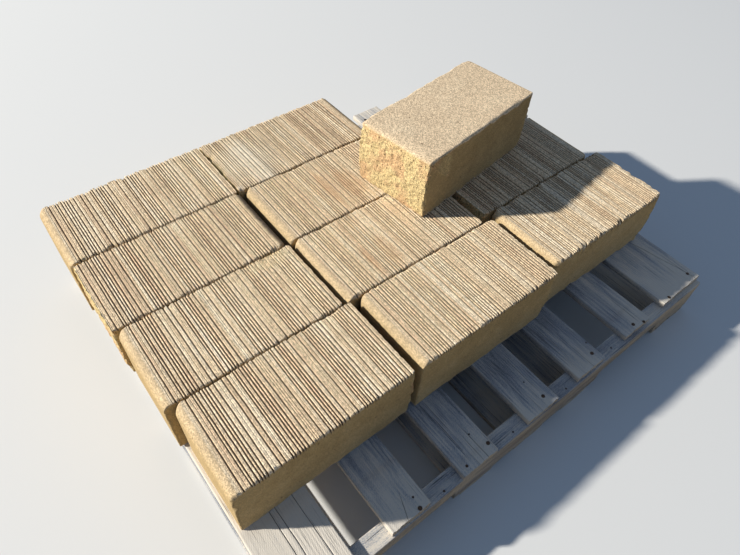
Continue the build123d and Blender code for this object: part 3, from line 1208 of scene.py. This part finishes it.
@dataclass
class Pallet:
    """The wooden stringer pallet with its deck, bottom boards and nails.

    Each deck board is given by its tone, its checks and its knots.
    """

    # The lower tones of boards 2 to 6 are partly their own colour, partly painted shade near the load
    deck: tuple[tuple[float, tuple[DryingCheck, ...], tuple[Knot, ...]], ...] = (
        (
            0.08,
            (DryingCheck(62, -20, 330), DryingCheck(75, 20, 300, 2.5), DryingCheck(112, 0, 260, 2.0, 1.3)),
            (),
        ),
        (-0.08, (DryingCheck(45, -20, 60, 2.5, 1.4, 0.35),), (Knot(70, 60, 22),)),
        (-0.1, (DryingCheck(30, 15, 190, 1.5, 1.0), DryingCheck(66, -20, 80)), ()),
        (-0.1, (DryingCheck(70, 30, 150, 1.5, 1.0),), (Knot(30, 95, 16),)),
        (-0.11, (DryingCheck(52, -20, 130, 2.0, 1.2), DryingCheck(24, 60, 170, 1.5, 1.0)), ()),
        (-0.09, (DryingCheck(48, 700, 1050, 2.5), DryingCheck(68, -20, 110, 2.0, 1.2)), ()),
        (-0.03, (DryingCheck(116, -5, 230, 4.5, 2.4, -0.2),), ()),
    )
    bottom_count: int = 5
    front_nails: Spots = (
        *((-326, -499, 4.4), (-136, -486, 4.2), (-202, -494, 3.0), (32, -483, 4.2), (202, -478, 4.2)),
        *((345, -486, 4.2), (372, -496, 3.6), (590, -474, 4.0), (485, -490, 4.2)),
        *((-590, -492, 4.2), (-560, -484, 4.0), (-500, -494, 4.2)),
    )
    deck_holes: Spots = (
        *((-323, -476, 2.2), (-153, -450, 1.8), (24, -436, 1.6), (214, -452, 1.8)),
    )
    stringer_holes: Spots = (
        *((-264, -500, 2.4), (-70, -497, 2.0), (96, -498, 2.0), (262, -492, 2.0)),
    )
    nail_inset: float = 18.0
    nail_radius: float = 4.2

    def build(self, wood: Material, steel: Material) -> None:
        """Builds every plank and the nail heads that lie open.

        Args:
            wood: material of the planks.
            steel: material of the nails.
        """
        for number, (tone, checks, knots) in enumerate(self.deck, start=1):
            board = f"deck_board_{number}"
            Plank(board, 10 + number, tone=tone, checks=checks, knots=knots).build(wood)
        coarse = {"face_step": 6 * MM, "station_step": 18 * MM}
        for number in range(1, self.bottom_count + 1):
            Plank(f"bottom_board_{number}", 30 + number, tone=-0.05, **coarse).build(wood)
        for number, side in enumerate(("front", "middle", "back")):
            Stringer(f"stringer_{side}", 40 + number, tone=-0.02, pith_depth=30 * MM).build(wood)
        self.nails(steel)

    def nails(self, steel: Material) -> None:
        """Builds the nail heads: those seen at the front, and pairs over the other stringers.

        Args:
            steel: material of the nails.
        """
        boards = [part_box(f"deck_board_{number}") for number in range(1, len(self.deck) + 1)]
        pairs = [(low.x / MM + self.nail_inset, high.x / MM - self.nail_inset) for low, high in boards]
        rows = [
            (x, middle + side * (-1) ** number, self.nail_radius)
            for middle, side in ((489, 7), (0, 6))
            for pair in pairs
            for number, x in enumerate(pair)
        ]
        deck_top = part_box("deck_board_4")[1].z
        NailHeads((*self.front_nails, *self.deck_holes, *rows), deck_top).build(steel)
        stringer_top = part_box("stringer_front")[1].z
        NailHeads(self.stringer_holes, stringer_top, "nail_holes").build(steel)


@dataclass
class Load:
    """The layer of blocks and the loose block on top, each with its own wear, stains and painted shade."""

    # Groove gains above the default darken the grooves further, partly with painted shade
    blocks: tuple[CastBlock, ...] = (
        CastBlock(
            "block_a1", 1, groove_dirt_and_shade_gain=1.7, line_depths=(0.3, 1.5),
            chips=(
                Chip(Edge.FRONT, 30, 9, 5.0), Chip(Edge.FRONT, 58, 6, 3.0), Chip(Edge.FRONT, 92, 14, 4.5),
            ),
        ),
        CastBlock(
            "block_a2", 2, nose=NoseEnd.RIGHT, groove_dirt_and_shade_gain=1.7, line_depths=(0.3, 1.5),
            # Painted shade on the rounded right end, turned from the key
            shade_patches=(Patch(385, 100, 13, 130),),
        ),
        CastBlock(
            "block_a3", 3, chips=(Chip(Edge.BACK, 340, 28, 3.0),),
            worn=(Patch(330, 185, 75, 26, 0.9), Patch(383, 120, 16, 60, 0.6)),
        ),
        CastBlock("block_a4", 4, tone=0.01),
        CastBlock(
            "block_b1", 5, nose=NoseEnd.RIGHT, tone=-0.03, groove_dirt_and_shade_gain=2.8, line_depths=(0.3, 1.5),
            blooms=(Patch(75, 80, 75, 110, 0.5), Patch(8, 8, 10, 12, 0.5)),
            # Painted shade on the rounded right end, turned from the key
            shade_patches=(Patch(384, 100, 14, 130, 0.5),),
            chips=(
                Chip(Edge.BROW, 146, 10, 8.0), Chip(Edge.BROW, 100, 22, 2.0), Chip(Edge.FRONT, 6, 8, 4.0),
            ),
        ),
        CastBlock(
            "block_b2", 6, tone=-0.02, groove_dirt_and_shade_gain=1.7,
            stains=(Patch(165, 90, 14, 90, 0.4), Patch(220, 80, 30, 70, 0.3)),
        ),
        CastBlock("block_b3", 7, stains=(Patch(107, 60, 8, 60, 0.4), Patch(157, 60, 20, 60, 0.3))),
        CastBlock("block_b4", 8, edge_wear=1.4, brow_wear=1.3),
        CastBlock("block_c2", 9, tone=-0.02, inner_stations=14),
        CastBlock("block_c3", 10, nose=NoseEnd.RIGHT, tone=-0.02),
        CastBlock(
            "block_c4", 11, tone=0.03, groove_dirt_and_shade_gain=1.8, edge_wear=2.1, brow_wear=1.6, breakout=2.4,
            tail_round=13 * MM,
        ),
        CastBlock(
            # Painted shade darkens the loose block's front and back faces
            "loose_block", 12, lay=Lay.RIBS_DOWN, tone=0.01, painted_side_shade=-0.1, tail_step=3 * MM,
            inner_stations=26,
            chips=(
                Chip(Edge.FRONT, 386, 9, 4.0),
                Chip(Edge.FRONT, 362, 12, 2.4),
                Chip(Edge.FRONT, 326, 18, 1.8),
            ),
        ),
    )

    def build(self, concrete: Material) -> None:
        """Builds every block in the same concrete."""
        for block in self.blocks:
            block.build(concrete)


@dataclass
class Studio:
    """Plain pale floor, pale background, one key lamp and an even fill.

    The floor looks pale to the camera, and the background to gloss and glass rays too,
    but both give back less light than they show, so that faces turned from the key
    keep their shade. The light of the key and the fill is given as linear colours.
    """

    floor_half: float = 16.0
    floor_colour: str = "D9D8D4"
    floor_bounce: str = "A6946C"
    backdrop_colour: str = "E6E6E3"
    key_from: tuple[float, float, float] = (-0.84, 0.54, 0.0)
    key_elevation: float = 26.0
    key_distance: float = 24.0
    key_size: float = 0.8
    key_aim: float = 0.25
    key_power: float = 11700.0
    key_colour: tuple[float, float, float] = (1.0, 0.965, 0.9)
    fill: float = 0.31
    fill_colour: tuple[float, float, float, float] = (0.45, 0.645, 1.0, 1.0)
    camera_place: tuple[float, float, float] = (-0.653, -0.690, 1.197)
    camera_right: tuple[float, float, float] = (0.78603, -0.61657, 0.04472)
    camera_forward: tuple[float, float, float] = (0.42149, 0.48159, -0.76839)
    lens: float = 28.23
    sensor: float = 36.0

    def floor(self) -> None:
        """Makes the floor as one large square at the height that the pallet stands on."""
        half = self.floor_half
        corners = [(-half, -half, 0), (half, -half, 0), (half, half, 0), (-half, half, 0)]
        mesh = bpy.data.meshes.new("floor")
        mesh.from_pydata(corners, [], [(0, 1, 2, 3)])
        nodes = NodeTree(bpy.data.materials.new("pale_floor"))
        seen = nodes.add("LightPath", output="Is Camera Ray")
        colour = nodes.add("Mix", (seen, self.floor_bounce, self.floor_colour), data_type="RGBA")
        nodes.tree.links.new(colour, nodes.shader.inputs["Base Color"])
        nodes.shader.inputs["Roughness"].default_value = 0.95
        nodes.shader.inputs["Specular IOR Level"].default_value = 0.0
        mesh.materials.append(nodes.owner)
        shown("floor", mesh)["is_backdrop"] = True

    def world(self) -> None:
        """Fills with even light, while camera, gloss and glass rays see the pale backdrop."""
        world = bpy.data.worlds.new("studio")
        bpy.context.scene.world = world
        nodes = NodeTree(world, "Background")
        nodes.shader.inputs["Color"].default_value = self.fill_colour
        nodes.shader.inputs["Strength"].default_value = self.fill
        seen = nodes.add("Background", (self.backdrop_colour, 1.0))
        share = nodes.add("LightPath", output="Is Camera Ray")
        for ray in ("Is Glossy Ray", "Is Transmission Ray"):
            other = nodes.add("LightPath", output=ray)
            share = nodes.add("Math", (share, other), operation="MAXIMUM")
        mix = nodes.add("MixShader", (share, nodes.shader.outputs[0], seen))
        nodes.tree.links.new(mix, nodes.tree.nodes["World Output"].inputs[0])

    def key(self) -> None:
        """Hangs the key lamp low on the left behind the pallet, so that the ribs cast shade."""
        rise = math.radians(self.key_elevation)
        flat = Vector(self.key_from).normalized() * math.cos(rise)
        towards = Vector((flat.x, flat.y, math.sin(rise)))
        data = bpy.data.lights.new("key", "AREA")
        data.shape = "DISK"
        data.size = self.key_size
        data.energy = self.key_power
        data.color = self.key_colour
        lamp = shown("key", data)
        lamp.location = towards * self.key_distance + Vector((0, 0, self.key_aim))
        lamp.rotation_euler = towards.to_track_quat("Z", "Y").to_euler()

    def camera(self) -> None:
        """Sets the camera where the photograph was taken from."""
        forward = Vector(self.camera_forward).normalized()
        right = Vector(self.camera_right).normalized()
        up = right.cross(forward)
        turn = Matrix((right, up, -forward)).transposed()
        data = bpy.data.cameras.new("view")
        data.sensor_width = self.sensor
        data.lens = self.lens
        camera = shown("view", data)
        camera.matrix_world = Matrix.Translation(self.camera_place) @ turn.to_4x4()
        bpy.context.scene.camera = camera

    def build(self) -> None:
        """Builds floor, light and camera, with colours shown as they are written."""
        self.floor()
        self.world()
        self.key()
        self.camera()
        bpy.context.scene.view_settings.view_transform = "Standard"


def write_sizes() -> None:
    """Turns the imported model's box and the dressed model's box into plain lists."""
    boxes = {"cad": cad_bounds, "visual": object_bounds()}
    plain = {name: [list(corner) for corner in box] for name, box in boxes.items()}


def main() -> None:
    """Dresses the pallet and its load, then sets up the studio."""
    logging.basicConfig(level=logging.INFO, format="%(name)s %(message)s")
    Pallet().build(WeatheredSoftwood().material(), RustedSteel().material())
    Load().build(CastConcrete().material())
    Studio().build()
    write_sizes()


if __name__ == "__main__":
    main()
